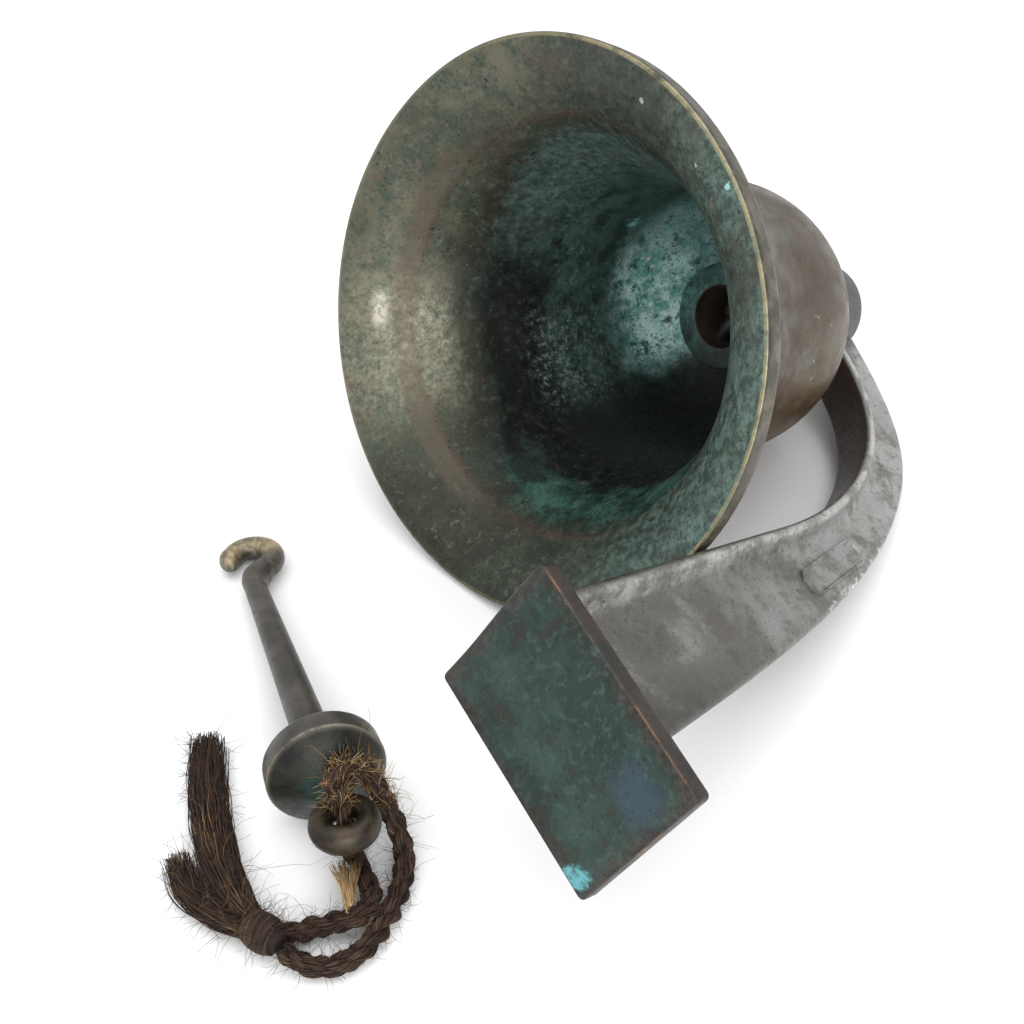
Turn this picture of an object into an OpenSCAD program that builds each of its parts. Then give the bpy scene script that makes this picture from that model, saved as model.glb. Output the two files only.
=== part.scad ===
// Bracket-mounted ship bell lying on a table, with its clapper taken out and laid beside it.
// Millimetres. The table is z = 0 and +Z is up.

/* [Bell] */
// Diameter across the mouth
mouth_d = 254; // [200:1:320]
// Height from the mouth edge to the flat on top of the crown
bell_h = 194.8; // [150:0.1:240]
// Outside diameter of the straight waist
waist_d = 139; // [110:1:170]
// Width of the band around the lip
lip_band = 10.9; // [6:0.1:16]
// Wall thickness at the waist
wall = 5.5; // [4:0.1:9]
// Thickness of the crown
crown_t = 10.8; // [8:0.1:16]
// Flare sharpness, outside
flare_out = 1.52; // [1.3:0.01:2]
// Flare sharpness, inside
flare_in = 1.75; // [1.3:0.01:2.2]
// Roundness of the dome
dome_n = 2.55; // [2:0.05:4]
// Where the flare ends and the waist begins
waist_x = 42; // [30:1:60]

/* [Lying pose] */
// Turn of the bell about its own axis as it lies
lie_roll = 204.27; // [0:0.01:360]
// Dip of the bell's axis toward the crown
lie_tilt = 22.62; // [0:0.01:45]
// Height of the middle of the mouth above the table
lie_z = 119.98; // [90:0.01:160]
// Middle of the mouth, along X
lie_x = -16; // [-60:0.1:60]
// Middle of the mouth, along Y
lie_y = 46.5; // [-60:0.1:60]

/* [Bracket] */
// Thickness of the arm's web
web_t = 7; // [5:0.5:10]
// Reach of the flange from the web's middle, on the side that faces up as it lies
flange_near = 14; // [10:0.5:18]
// Reach of the flange from the web's middle, on the side that faces the table
flange_far = 11; // [8:0.5:18]
// Thickness of the flange
flange_t = 6; // [4:0.5:9]
// Length of the foot plate
foot_l = 96.8; // [70:0.1:120]
// Width of the foot plate
foot_w = 70.5; // [50:0.1:90]
// Thickness of the foot plate
foot_t = 7.9; // [5:0.1:12]
// Distance from the mouth plane to the foot's outer face
foot_x = 118.2; // [90:0.1:150]
// Distance from the bell's axis to the foot's nearer end
foot_y = 129.7; // [120:0.1:150]
// Diameter of the boss that carries the bell
boss_d = 49; // [40:1:60]
// Length of the boss
boss_l = 45; // [30:1:60]

/* [Hanger] */
// Diameter of the hanger inside the crown
hanger_d = 54; // [40:1:60]
// Diameter of the recess for the clapper's hook
recess_d = 31; // [24:1:40]
// Diameter of the threaded shank through the crown
stud_d = 16; // [12:0.5:20]
// Diameter of the cross pin
pin_d = 8; // [6:0.5:10]

/* [Clapper] */
// Middle of the hook's ring, from the middle of the mouth along X
clap_x = -111.9; // [-160:0.1:0]
// Middle of the hook's ring, from the middle of the mouth along Y
clap_y = 76.3; // [0:0.1:120]
// Middle of the hook's ring, above the table
clap_z = 6.7; // [5:0.1:20]
// Heading of the clapper, turned from +X
clap_heading = -113.7; // [-180:0.1:180]
// Rise of the clapper toward its ball
clap_rise = 6.89; // [0:0.01:15]
// Thickness of the hook's rod
hook_rod = 10.6; // [8:0.1:14]
// Radius of the hook's ring along its rod
hook_r = 9.9; // [8:0.1:14]
// Diameter of the ball
ball_d = 49; // [40:1:60]
// Distance from the hook to the ball's band
ball_s = 152; // [120:1:180]
// Diameter of the shank at the hook
shank_d1 = 10.4; // [8:0.1:14]
// Diameter of the shank at the ball
shank_d2 = 15.8; // [10:0.1:20]
// Distance from the hook to the rope eye
eye_s = 186; // [160:1:210]
// Thickness of the rope eye's rod
eye_rod = 9.4; // [7:0.1:12]
// Radius of the rope eye along its rod
eye_r = 9.3; // [8:0.1:14]

/* [Rope] */
// Diameter of the rope
rope_d = 8; // [6:0.5:12]

/* [Hidden] */
mouth_r = mouth_d / 2;
waist_r = waist_d / 2;
in_r = waist_r - wall;
dome_x = bell_h - 76.8;
dome_len = 78;
in_dome_x = dome_x - 3;
in_dome_len = 72;
crown_in = bell_h - crown_t;
seat_r = 22;
washer_gap = 0.3;
washer_t = 2.5;
boss_x = bell_h + 2 * washer_gap + washer_t;
head_x = crown_in - 2 * washer_gap - washer_t;
head_l = 37;
hook_x = head_x - 21;
ball_r = ball_d / 2;
rope_r = rope_d / 2;
$fn = 48;

function flare(x, x0, x1, r0, r1, n) =
  r1 + (r0 - r1) * (1 - pow(1 - pow(1 - (x - x0) / (x1 - x0), n), 1 / n));
function dome(x, x0, l, r, n) = r * pow(max(0, 1 - pow((x - x0) / l, n)), 1 / n);
function bez(a, b, c, d, t) =
  a * pow(1 - t, 3) + 3 * b * t * pow(1 - t, 2) + 3 * c * t * t * (1 - t) + d * pow(t, 3);
function bez_run(a, b, c, d, n) = [for (i = [0:n]) bez(a, b, c, d, i / n)];
function unit(v) = v / norm(v);
function side(v) = [-v[1], v[0]];
function shifted(p, d) = [
  for (i = [0:len(p) - 1])
    p[i] + d * side(unit(p[min(i + 1, len(p) - 1)] - p[max(i - 1, 0)]))
];
function inner(p) = [for (i = [1:len(p) - 2]) p[i]];
function back(p) = [for (i = [len(p) - 1:-1:0]) p[i]];

// The arm's outer edge from the boss to the foot, and its inner edge from the foot to the boss
arm_out = concat(
  bez_run([238.5, 26], [221, 87], [203.5, 111], [146.5, 139], 10),
  bez_run([140, 143.3], [75, 174], [-31, 186], [foot_t - foot_x, 200], 8)
);
arm_in = concat(
  [[foot_t - foot_x, foot_y + 2.3], [-92, 131.6]],
  bez_run([60, 128], [140, 124], [199, 84], [200, 22], 10)
);

module lying() {
  translate([lie_x, lie_y, lie_z]) rotate([lie_roll, lie_tilt, 0]) children();
}

module on_axis() {
  lying() rotate([0, 90, 0]) children();
}

module clapper() {
  translate([lie_x + clap_x, lie_y + clap_y, clap_z]) rotate([0, -clap_rise, clap_heading]) children();
}

function flare_r(x) = flare(x, lip_band, dome_x, mouth_r - 3, waist_r, flare_out);
function throat_r(x) = flare(x, 0, in_dome_x, mouth_r - 2, in_r, flare_in);

module turned(points) {
  color([0.45, 0.42, 0.34]) on_axis() rotate_extrude($fn = 96) polygon(points);
}

// The casting's lip and flare, up to the waist
module bell_lip() {
  n = 7;
  turned(concat(
    [[mouth_r - 2, 0], [mouth_r, 0.6], [mouth_r, 1.5], [mouth_r - 1.5, lip_band]],
    [for (i = [0:n]) let (x = lip_band + 1 + (waist_x - lip_band - 1) * pow(i / n, 1.3))
      [flare_r(x), x]],
    [for (i = [n:-1:0]) let (x = 0.6 + (waist_x - 0.6) * pow(i / n, 1.6)) [throat_r(x), x]]
  ));
}

// The casting's nearly straight waist
module bell_waist() {
  n = 4;
  turned(concat(
    [for (i = [0:n]) let (x = waist_x + (dome_x - waist_x) * i / n) [flare_r(x), x]],
    [[in_r, dome_x]],
    [for (i = [n:-1:0]) let (x = waist_x + (in_dome_x - waist_x) * i / n) [throat_r(x), x]]
  ));
}

// The casting's dome and crown
module bell_crown() {
  dome_pts = [
    for (i = [0:9]) let (x = dome_x + (bell_h - dome_x) * sin(i * 10))
      [max(seat_r, dome(x, dome_x, dome_len, waist_r, dome_n)), x]
  ];
  in_pts = [
    for (i = [8:-1:1]) let (x = dome_x + (crown_in - dome_x) * sin(i * 11.25))
      [dome(x, in_dome_x, in_dome_len, in_r, dome_n), x]
  ];
  turned(concat(
    dome_pts,
    [[seat_r, bell_h], [stud_d / 2 + 0.6, bell_h], [stud_d / 2 + 0.6, crown_in]],
    in_pts,
    [[in_r, dome_x]]
  ));
}

module bracket_arm() {
  web_in = concat([[foot_t - foot_x, foot_y + 5]], inner(shifted(arm_in, 3)), [[206, 26]]);
  color([0.46, 0.47, 0.47]) lying() {
    linear_extrude(web_t, center = true) polygon(concat(arm_out, web_in));
    translate([0, 0, -flange_near]) linear_extrude(flange_near + flange_far)
      polygon(concat(arm_in, back(shifted(arm_in, flange_t))));
  }
}

module bracket_boss() {
  b = boss_d / 2;
  color([0.44, 0.45, 0.45]) on_axis() translate([0, 0, boss_x]) difference() {
    rotate_extrude($fn = 64) polygon(concat(
      [[0, 0], [b - 1.5, 0], [b, 1.5]],
      [for (i = [0:4]) [b - 5 + 5 * cos(i * 22.5), boss_l - 5 + 5 * sin(i * 22.5)]],
      [[0, boss_l]]
    ));
    translate([0, 0, -1]) cylinder(d = stud_d + 0.6, h = 33);
  }
}

module bracket_foot() {
  c = 2.5;
  color([0.3, 0.36, 0.33]) lying()
    translate([-foot_x, foot_y, 0]) rotate([90, 0, 90]) linear_extrude(foot_t)
      polygon([
        [0, c - foot_w / 2], [c, -foot_w / 2], [foot_l - c, -foot_w / 2],
        [foot_l, c - foot_w / 2], [foot_l, foot_w / 2 - c], [foot_l - c, foot_w / 2],
        [c, foot_w / 2], [0, foot_w / 2 - c]
      ]);
}

module washer(x, d) {
  on_axis() translate([0, 0, x]) difference() {
    cylinder(d = d, h = washer_t);
    translate([0, 0, -1]) cylinder(d = stud_d + 1, h = washer_t + 2);
  }
}

module crown_washer_outer() {
  color([0.2, 0.15, 0.1]) washer(bell_h + washer_gap, 42);
}

module crown_washer_inner() {
  color([0.2, 0.15, 0.1]) washer(crown_in - washer_gap - washer_t, 50);
}

module clapper_hanger() {
  r = hanger_d / 2;
  color([0.3, 0.28, 0.24]) on_axis() difference() {
    rotate_extrude($fn = 64) polygon([
      [recess_d / 2, head_x - head_l], [r - 1.5, head_x - head_l], [r, head_x - head_l + 1.5],
      [r, head_x - 1.5], [r - 1.5, head_x], [stud_d / 2, head_x], [stud_d / 2, boss_x + 27],
      [stud_d / 2 - 1.5, boss_x + 28.5], [0, boss_x + 28.5], [0, head_x - 8],
      [recess_d / 2 - 3, head_x - 8], [recess_d / 2, head_x - 11]
    ]);
    translate([0, 0, hook_x]) rotate([0, 90, 90]) rotate([90, 0, 0])
      cylinder(d = pin_d + 0.6, h = hanger_d + 4, center = true);
  }
}

module hanger_pin() {
  color([0.35, 0.34, 0.32]) lying() translate([hook_x, 0, 0])
    cylinder(d = pin_d, h = hanger_d - 1, center = true);
}

module clapper_hook() {
  color([0.42, 0.4, 0.36]) clapper() {
    rotate([0, 0, 14]) rotate_extrude(angle = 256) translate([hook_r, 0])
      circle(d = hook_rod, $fn = 24);
    rotate([0, 0, 268]) translate([hook_r, 0, 0]) rotate([-90, 0, 0])
      cylinder(d1 = hook_rod - 0.5, d2 = hook_rod - 4, h = 9);
    translate([8.5, 0, 0]) rotate([0, 90, 0]) cylinder(d = hook_rod + 1, h = 10.5);
  }
}

module clapper_shank() {
  color([0.4, 0.39, 0.36]) clapper() translate([19, 0, 0]) rotate([0, 90, 0])
    cylinder(d1 = shank_d1, d2 = shank_d2, h = ball_s - 35);
}

module clapper_ball() {
  color([0.42, 0.41, 0.37]) clapper() translate([ball_s, 0, 0]) rotate([0, 90, 0])
    rotate_extrude($fn = 64) polygon([
      [0, -16], [8.5, -16], [14, -12.5], [20, -8.5], [23.5, -5.5], [ball_r, -4],
      [ball_r, 4.5], [23.2, 8], [19, 13], [13, 17.2], [9.5, 19.5], [7.2, 22.3], [6.4, 25], [0, 25]
    ]);
}

module clapper_eye() {
  color([0.42, 0.41, 0.37]) clapper() translate([eye_s, 0, 0])
    rotate_extrude() translate([eye_r, 0]) circle(d = eye_rod, $fn = 24);
}

// Rope routes, measured from the middle of the mouth: first the leg that comes up through the eye
// and over it, then the leg that leaves below it
over_route = [
  [-186, -92, 24], [-185, -89, 31], [-182, -84, 37], [-177, -81, 40], [-171, -80, 39],
  [-167, -83, 34], [-165, -88, 26], [-165, -94, 18], [-167, -101, 12], [-171, -108, 7],
  [-179, -115, 4.4], [-189, -121, 4.4], [-201, -126, 4.4], [-212, -127, 4.4],
  [-222, -124, 4.4], [-228, -117, 5], [-231, -108, 7]
];
under_route = [
  [-186, -92, 20], [-185, -93, 14], [-185, -96, 8], [-187, -103, 5], [-190, -111, 5],
  [-196, -117, 8], [-204, -117, 10], [-210, -111, 7], [-215, -107, 5], [-221, -104, 5],
  [-227, -102, 7]
];

function mid_pts(p) = [
  for (i = [0:len(p) - 2]) for (k = [0, 1]) k == 0 ? p[i]
    : (p[i] + p[i + 1]) * 9 / 16
      - (p[max(i - 1, 0)] + p[min(i + 2, len(p) - 1)]) / 16
];
function smooth(p) = concat(mid_pts(p), [p[len(p) - 1]]);

module rope_place() {
  translate([lie_x, lie_y, 0]) children();
}

// A round tube through the points p, with the radius r at each of them
module tube(p, r) {
  n = 10;
  m = len(p);
  t = [for (i = [0:m - 1]) unit(p[min(i + 1, m - 1)] - p[max(i - 1, 0)])];
  u0 = unit(cross(t[0], [0.3, 0.9, 0.2]));
  // Each ring's first spoke is the last ring's, made square to the new direction
  us = [
    for (i = 0, u = u0; i < m; i = i + 1, u = i < m ? unit(u - t[i] * (u * t[i])) : u) u
  ];
  pts = [
    for (i = [0:m - 1]) for (k = [0:n - 1])
      p[i] + r[i] * (us[i] * cos(k * 360 / n) + cross(t[i], us[i]) * sin(k * 360 / n))
  ];
  sides = [
    for (i = [0:m - 2]) for (k = [0:n - 1])
      [i * n + k, (i + 1) * n + k, (i + 1) * n + (k + 1) % n, i * n + (k + 1) % n]
  ];
  polyhedron(pts, concat(
    sides,
    [[for (k = [0:n - 1]) k]],
    [[for (k = [n - 1:-1:0]) (m - 1) * n + k]]
  ));
}

module rope(route) {
  p = smooth(route);
  rope_place() tube(p, [for (i = p) rope_r]);
}

module rope_leg_over() {
  color([0.3, 0.21, 0.14]) rope(over_route);
}

module rope_leg_under() {
  color([0.28, 0.2, 0.13]) rope(under_route);
}

// A round bundle that tapers from one point to the next
module bundle(a, b, ra, rb) {
  d = b - a;
  translate(a) rotate([0, acos(d[2] / norm(d)), atan2(d[1], d[0])])
    cylinder(r1 = ra, r2 = rb, h = norm(d), $fn = 24);
}

module rope_knot() {
  color([0.25, 0.17, 0.12]) rope_place() translate([-232, -96, 8.4]) rotate([90, 0, 12]) rotate_extrude()
    polygon(concat([[0, -11]], [for (i = [-4:4]) [8 * cos(i * 18), 11 * sin(i * 20)]], [[0, 11]]));
}

module rope_tassel_main() {
  color([0.3, 0.2, 0.14]) rope_place() tube(
    [[-233, -86, 8], [-230, -71, 8], [-222, -52, 8], [-212, -33, 7.8], [-200, -14, 6], [-190, 2, 4]],
    [5.5, 7, 7.6, 7.4, 5.5, 3]
  );
}

module rope_tassel_side() {
  color([0.3, 0.2, 0.14]) rope_place() tube(
    [[-236, -88, 7], [-241, -72, 6.5], [-240, -58, 5], [-234, -41, 3.5]],
    [4.5, 5.5, 4.5, 2.5]
  );
}

module rope_tuft() {
  color([0.5, 0.37, 0.2]) rope_place() bundle([-203, -114, 12], [-192, -97, 8], 4, 2.5);
}

bell_lip();
bell_waist();
bell_crown();
bracket_arm();
bracket_boss();
bracket_foot();
crown_washer_outer();
crown_washer_inner();
clapper_hanger();
hanger_pin();
clapper_hook();
clapper_shank();
clapper_ball();
clapper_eye();
rope_leg_over();
rope_leg_under();
rope_knot();
rope_tassel_main();
rope_tassel_side();
rope_tuft();
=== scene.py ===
import math

import bmesh
import bpy
import numpy as np
from mathutils import Euler, Matrix, Vector


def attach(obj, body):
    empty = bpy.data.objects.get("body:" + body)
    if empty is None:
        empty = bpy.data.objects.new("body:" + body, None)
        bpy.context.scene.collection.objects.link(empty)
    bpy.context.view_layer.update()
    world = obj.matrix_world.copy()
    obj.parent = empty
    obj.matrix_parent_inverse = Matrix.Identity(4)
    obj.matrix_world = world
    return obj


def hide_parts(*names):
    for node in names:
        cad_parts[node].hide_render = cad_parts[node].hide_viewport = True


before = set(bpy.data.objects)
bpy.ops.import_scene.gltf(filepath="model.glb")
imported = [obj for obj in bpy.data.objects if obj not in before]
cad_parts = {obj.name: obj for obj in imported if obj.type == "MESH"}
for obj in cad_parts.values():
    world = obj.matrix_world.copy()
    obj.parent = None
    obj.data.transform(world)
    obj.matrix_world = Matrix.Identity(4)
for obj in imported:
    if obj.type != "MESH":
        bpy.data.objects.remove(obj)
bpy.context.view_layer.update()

rng = np.random.default_rng(11)
scene = bpy.context.scene

# -------------------- places
# The bell's own frame has +X from the mouth to the crown, +Y toward the bracket's arm.
BELL = Matrix.Translation((-0.016, 0.0465, 0.11998)) @ Euler(
    (math.radians(204.27), math.radians(22.62), 0)).to_matrix().to_4x4()
# The clapper's own frame starts at its hook's ring and has +X along the shank.
CLAP = Matrix.Translation((-0.1279, 0.1228, 0.0067)) @ Euler(
    (0, math.radians(-6.89), math.radians(-113.7))).to_matrix().to_4x4()
MOUTH = Vector((-16, 46.5, 0))

# -------------------- camera
cam_data = bpy.data.cameras.new("camera")
cam = bpy.data.objects.new("camera", cam_data)
scene.collection.objects.link(cam)
scene.camera = cam
right = Vector((0.732, -0.681, -0.030)).normalized()
ahead = Vector((0.500, 0.567, -0.655))
ahead = (ahead - right * ahead.dot(right)).normalized()
rot = Matrix((right, (-ahead).cross(right), -ahead)).transposed()
cam.matrix_world = Matrix.Translation((-0.39995, -0.37448, 0.50985)) @ rot.to_4x4()
cam_data.sensor_width = 36
cam_data.lens = 54.984375
cam_data.clip_start = 0.02
cam_data.clip_end = 30


# -------------------- mesh helpers (millimetres)
def mesh_piece(name, verts, faces, place=None, sharp=None):
    """A closed mesh in the row frame. Its "own" attribute keeps each point's place in its own frame."""
    own = np.array([tuple(v) for v in verts], float) * 0.001
    m = np.array(place if place is not None else Matrix.Identity(4))
    there = own @ m[:3, :3].T + m[:3, 3]
    me = bpy.data.meshes.new(name)
    me.from_pydata([tuple(v) for v in there], [], faces)
    me.validate()
    bm = bmesh.new()
    bm.from_mesh(me)
    bmesh.ops.recalc_face_normals(bm, faces=bm.faces)
    bm.to_mesh(me)
    bm.free()
    kept = me.attributes.new("own", "FLOAT_VECTOR", "POINT")
    kept.data.foreach_set("vector", own.astype(np.float32).ravel())
    me.shade_smooth()
    if sharp:
        me.set_sharp_from_angle(angle=math.radians(sharp))
    ob = bpy.data.objects.new(name, me)
    scene.collection.objects.link(ob)
    return ob


def toned(ob, tones):
    """Writes the "tone" attribute that a material reads, one number for each point."""
    tone = ob.data.attributes.new("tone", "FLOAT", "POINT")
    tone.data.foreach_set("value", np.array(tones, dtype=np.float32))
    return ob


def grid_faces(rows, cols, close_cols=True, close_rows=False, start=0):
    out = []
    for i in range(rows if close_rows else rows - 1):
        for j in range(cols if close_cols else cols - 1):
            a = i * cols + j
            b = i * cols + (j + 1) % cols
            c = ((i + 1) % rows) * cols + (j + 1) % cols
            d = ((i + 1) % rows) * cols + j
            out.append((start + a, start + b, start + c, start + d))
    return out


def lathe(name, profile, n, place, closed=False, sharp=40, wobble=None):
    """Turns (x, radius) points about the X axis. Points on the axis close the ends."""
    verts = []
    for i, (x, r) in enumerate(profile):
        for k in range(n):
            a = 2 * math.pi * k / n
            rr = r + (wobble(x, r, a) if wobble else 0)
            verts.append((x, rr * math.cos(a), rr * math.sin(a)))
    faces = [tuple(reversed(f)) for f in grid_faces(len(profile), n, True, closed)]
    if not closed:
        faces.append(tuple(range(n)))
        last = (len(profile) - 1) * n
        faces.append(tuple(reversed(range(last, last + n))))
    return mesh_piece(name, verts, faces, place, sharp=sharp)


def catmull(points, step):
    """A smooth run of points, one each step, through the given points."""
    p = np.array(points, float)
    p = np.vstack([2 * p[0] - p[1], p, 2 * p[-1] - p[-2]])
    out = []
    for i in range(1, len(p) - 2):
        n = max(2, int(np.linalg.norm(p[i + 1] - p[i]) / step))
        for t in np.arange(n) / n:
            a = 2 * p[i]
            b = p[i + 1] - p[i - 1]
            c = 2 * p[i - 1] - 5 * p[i] + 4 * p[i + 1] - p[i + 2]
            d = -p[i - 1] + 3 * p[i] - 3 * p[i + 1] + p[i + 2]
            out.append(0.5 * (a + b * t + c * t * t + d * t ** 3))
    out.append(p[-2])
    return np.array(out)


def frames(path):
    """A tangent and two steady spokes at each point of a path."""
    t = np.gradient(path, axis=0)
    t /= np.linalg.norm(t, axis=1)[:, None]
    u = np.cross(t[0], [0.3, 0.9, 0.2])
    u /= np.linalg.norm(u)
    us = []
    for ti in t:
        u = u - ti * u.dot(ti)
        u /= np.linalg.norm(u)
        us.append(u)
    us = np.array(us)
    return t, us, np.cross(t, us)


def around(u, w, a):
    """The direction at an angle between two spokes, or one for each row of them."""
    if np.ndim(a):
        a = a[:, None]
    return np.cos(a) * u + np.sin(a) * w


def arc_length(path):
    return np.concatenate([[0], np.cumsum(np.linalg.norm(np.diff(path, axis=0), axis=1))])


class Build:
    """Collects tubes into one mesh, each with its own tone from 0 to 1."""

    def __init__(self):
        self.verts, self.faces, self.tones = [], [], []

    def tube(self, path, radii, sides, tone, ridge=None):
        t, u, w = frames(path)
        start = len(self.verts)
        for i in range(len(path)):
            for k in range(sides):
                a = 2 * math.pi * k / sides
                r = radii[i] * (1 + (ridge(i, a) if ridge else 0))
                self.verts.append(path[i] + r * around(u[i], w[i], a))
                self.tones.append(tone)
        self.faces += grid_faces(len(path), sides, True, False, start)
        self.faces.append(tuple(reversed(range(start, start + sides))))
        last = start + (len(path) - 1) * sides
        self.faces.append(tuple(range(last, last + sides)))

    def piece(self, name, place=None):
        return toned(mesh_piece(name, self.verts, self.faces, place), self.tones)


# -------------------- node helpers
class Nodes:
    def __init__(self, name):
        self.mat = bpy.data.materials.new(name)
        self.mat.use_nodes = True
        self.t = self.mat.node_tree
        self.shader = self.t.nodes["Principled BSDF"]

    def put(self, node, socket, value):
        s = node.inputs[socket]
        if isinstance(value, bpy.types.NodeSocket):
            self.t.links.new(value, s)
        elif value is not None:
            s.default_value = value

    def new(self, kind):
        return self.t.nodes.new("ShaderNode" + kind)

    def math(self, op, a, b=None):
        n = self.new("Math")
        n.operation = op
        self.put(n, 0, a)
        self.put(n, 1, b)
        return n.outputs[0]

    def add(self, a, b):
        return self.math("ADD", a, b)

    def mul(self, a, b):
        return self.math("MULTIPLY", a, b)

    def drift(self, v, noise, much):
        """A value moved by some of another."""
        return self.add(v, self.mul(noise, much))

    def ramp(self, v, lo, hi, out_lo=0.0, out_hi=1.0):
        """Runs smoothly from out_lo to out_hi as v goes from lo to hi."""
        n = self.new("MapRange")
        n.interpolation_type = "SMOOTHSTEP"
        for i, x in enumerate((v, lo, hi, out_lo, out_hi)):
            self.put(n, i, x)
        return n.outputs[0]

    def near(self, v, at, far, close, out_far=0.0, out_close=1.0):
        """The same, by how far v is from one value."""
        return self.ramp(self.math("ABSOLUTE", self.add(v, -at)), far, close, out_far, out_close)

    def mix(self, fac, a, b):
        n = self.new("Mix")
        n.data_type = "RGBA"
        for i, v in ((0, fac), (6, a), (7, b)):
            self.put(n, i, v + (1,) if isinstance(v, tuple) else v)
        return n.outputs[2]

    def pair(self, v, lo, hi, a, b):
        """Two colours, parted by a noise."""
        return self.mix(self.ramp(v, lo, hi), a, b)

    def spots(self, base, v, lo, hi, strength, color):
        """A colour laid over a base where a noise is high."""
        return self.mix(self.ramp(v, lo, hi, 0.0, strength), base, color)

    def over(self, base, mask, strength, color):
        """A colour laid over a base where a mask is."""
        return self.mix(self.mul(mask, strength), base, color)

    def noise(self, co, scale, detail, rough, warp=0.0):
        n = self.new("TexNoise")
        for name, v in (("Vector", co), ("Scale", scale), ("Detail", detail),
                        ("Roughness", rough), ("Distortion", warp)):
            self.put(n, name, v)
        return n.outputs[0]

    def place(self):
        """The piece's own coordinates, in metres, and their parts."""
        n = self.new("Attribute")
        n.attribute_name = "own"
        s = self.new("SeparateXYZ")
        self.t.links.new(n.outputs["Vector"], s.inputs[0])
        return n.outputs["Vector"], s.outputs[0], s.outputs[1], s.outputs[2]

    def attr(self, name):
        n = self.new("Attribute")
        n.attribute_name = name
        return n.outputs["Fac"]

    def bump(self, height, strength, distance, below=None):
        n = self.new("Bump")
        for name, v in (("Strength", strength), ("Distance", distance), ("Height", height),
                        ("Normal", below)):
            self.put(n, name, v)
        return n.outputs[0]

    def set(self, **values):
        names = {"color": "Base Color", "metal": "Metallic", "rough": "Roughness",
                 "normal": "Normal", "spec": "Specular IOR Level"}
        for key, v in values.items():
            self.put(self.shader, names[key], v)
        return self.mat


# -------------------- rope
# Routes are in millimetres, from below the mouth's middle.
over_route = [
    (-186, -92, 24), (-185, -89, 31), (-182, -84, 37), (-177, -81, 40), (-171, -80, 39),
    (-167, -83, 34), (-165, -88, 26), (-165, -94, 18), (-167, -101, 12), (-171, -108, 7),
    (-179, -115, 4.4), (-189, -121, 4.4), (-201, -126, 4.4), (-212, -127, 4.4),
    (-222, -124, 4.4), (-228, -117, 5), (-231, -108, 7),
]
under_route = [
    (-186, -92, 20), (-185, -93, 14), (-185, -96, 8), (-187, -103, 5), (-190, -111, 5),
    (-196, -117, 8), (-204, -117, 10), (-210, -111, 7), (-215, -107, 5), (-221, -104, 5),
    (-227, -102, 7),
]


def row(points):
    return [tuple(Vector(p) + MOUTH) for p in points]


LAY = 24.0      # length of one turn of the strands, in mm
YARNS = 40      # in each strand
TABLE_GAP = 0.3     # fibres stay this far above the table, in mm


def laid_rope(name, route, bight=None):
    """Three strands laid round each other, each a dark core under loose coarse yarns."""
    path = catmull(row(route), 0.9)
    s = arc_length(path)
    t, u, w = frames(path)
    swell = 1 + (0.3 * np.exp(-((s - bight) / 15) ** 2) if bight else 0 * s)
    b = Build()
    for k in range(3):
        turn = 2 * math.pi * (s / LAY + k / 3) + 0.35 * np.sin(s * 0.13 + 2 * k)
        off = 2.0 * swell * (1 + 0.16 * np.sin(s * 0.21 + k * 2.1))
        strand = path + off[:, None] * around(u, w, turn)
        b.tube(strand, 1.75 * swell, 12, 0.12)
        for j in range(YARNS):
            twist = 2 * math.pi * j / YARNS + s * rng.uniform(-0.30, -0.16)
            reach = 1.45 + rng.uniform(0, 0.85)
            reach = reach + 0.28 * np.sin(s * rng.uniform(0.15, 0.4) + rng.uniform(0, 6))
            reach = np.maximum(reach, 1.2) * swell
            yarn = strand + reach[:, None] * around(u, w, twist)
            yarn[:, 2] = np.maximum(yarn[:, 2], 0.35)
            i0 = int(rng.integers(0, 20))
            i1 = len(path) - int(rng.integers(0, 12))
            d = rng.uniform(0.24, 0.42)
            part = yarn[i0:i1:2]
            b.tube(part, np.full(len(part), d), 4, min(1, max(0, rng.normal(0.42, 0.2))))
    return b.piece(name), path


def hair(b, root, out, length, d, tone):
    """One stray fibre from a surface, curling as it goes."""
    n = 7
    p = np.array(root, float)
    v = np.array(out, float)
    v /= np.linalg.norm(v)
    bend = rng.normal(0, 0.7, 3)
    pts = [p.copy()]
    for i in range(n):
        p = p + v * length / n
        p[2] = max(p[2], TABLE_GAP)
        v = v + bend / n + rng.normal(0, 0.16, 3)
        v /= np.linalg.norm(v)
        pts.append(p.copy())
    b.tube(np.array(pts), np.linspace(d / 2, d / 4, n + 1), 3, tone)


def fuzz(name, paths, count, lengths=(2, 3.2), d=0.2, along=1.0, span=(0, 1), lift=0.0):
    """Stray fibres on the surface of some (path, radius) runs, mostly short and leaning along them."""
    b = Build()
    total = sum(len(q) for q, _ in paths)
    for path, r in paths:
        t, u, w = frames(path)
        first = 1 + int(span[0] * (len(path) - 2))
        last = 1 + int(span[1] * (len(path) - 2))
        for _ in range(int(count * len(path) / total)):
            i = rng.integers(first, last)
            a = rng.uniform(0, 2 * math.pi)
            n = around(u[i], w[i], a)
            if n[2] < -0.3:
                n[2] *= -1
            out = n + t[i] * rng.normal(0, along) + rng.normal(0, 0.3, 3) + np.array([0, 0, lift])
            length = lengths[0] + rng.gamma(1.4, lengths[1])
            hair(b, path[i] + n * r * 0.8, out, length, d, rng.uniform(0, 0.9))
    return b.piece(name)


over, over_path = laid_rope("rope_over", over_route, bight=27)
under, under_path = laid_rope("rope_under", under_route)


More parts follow.
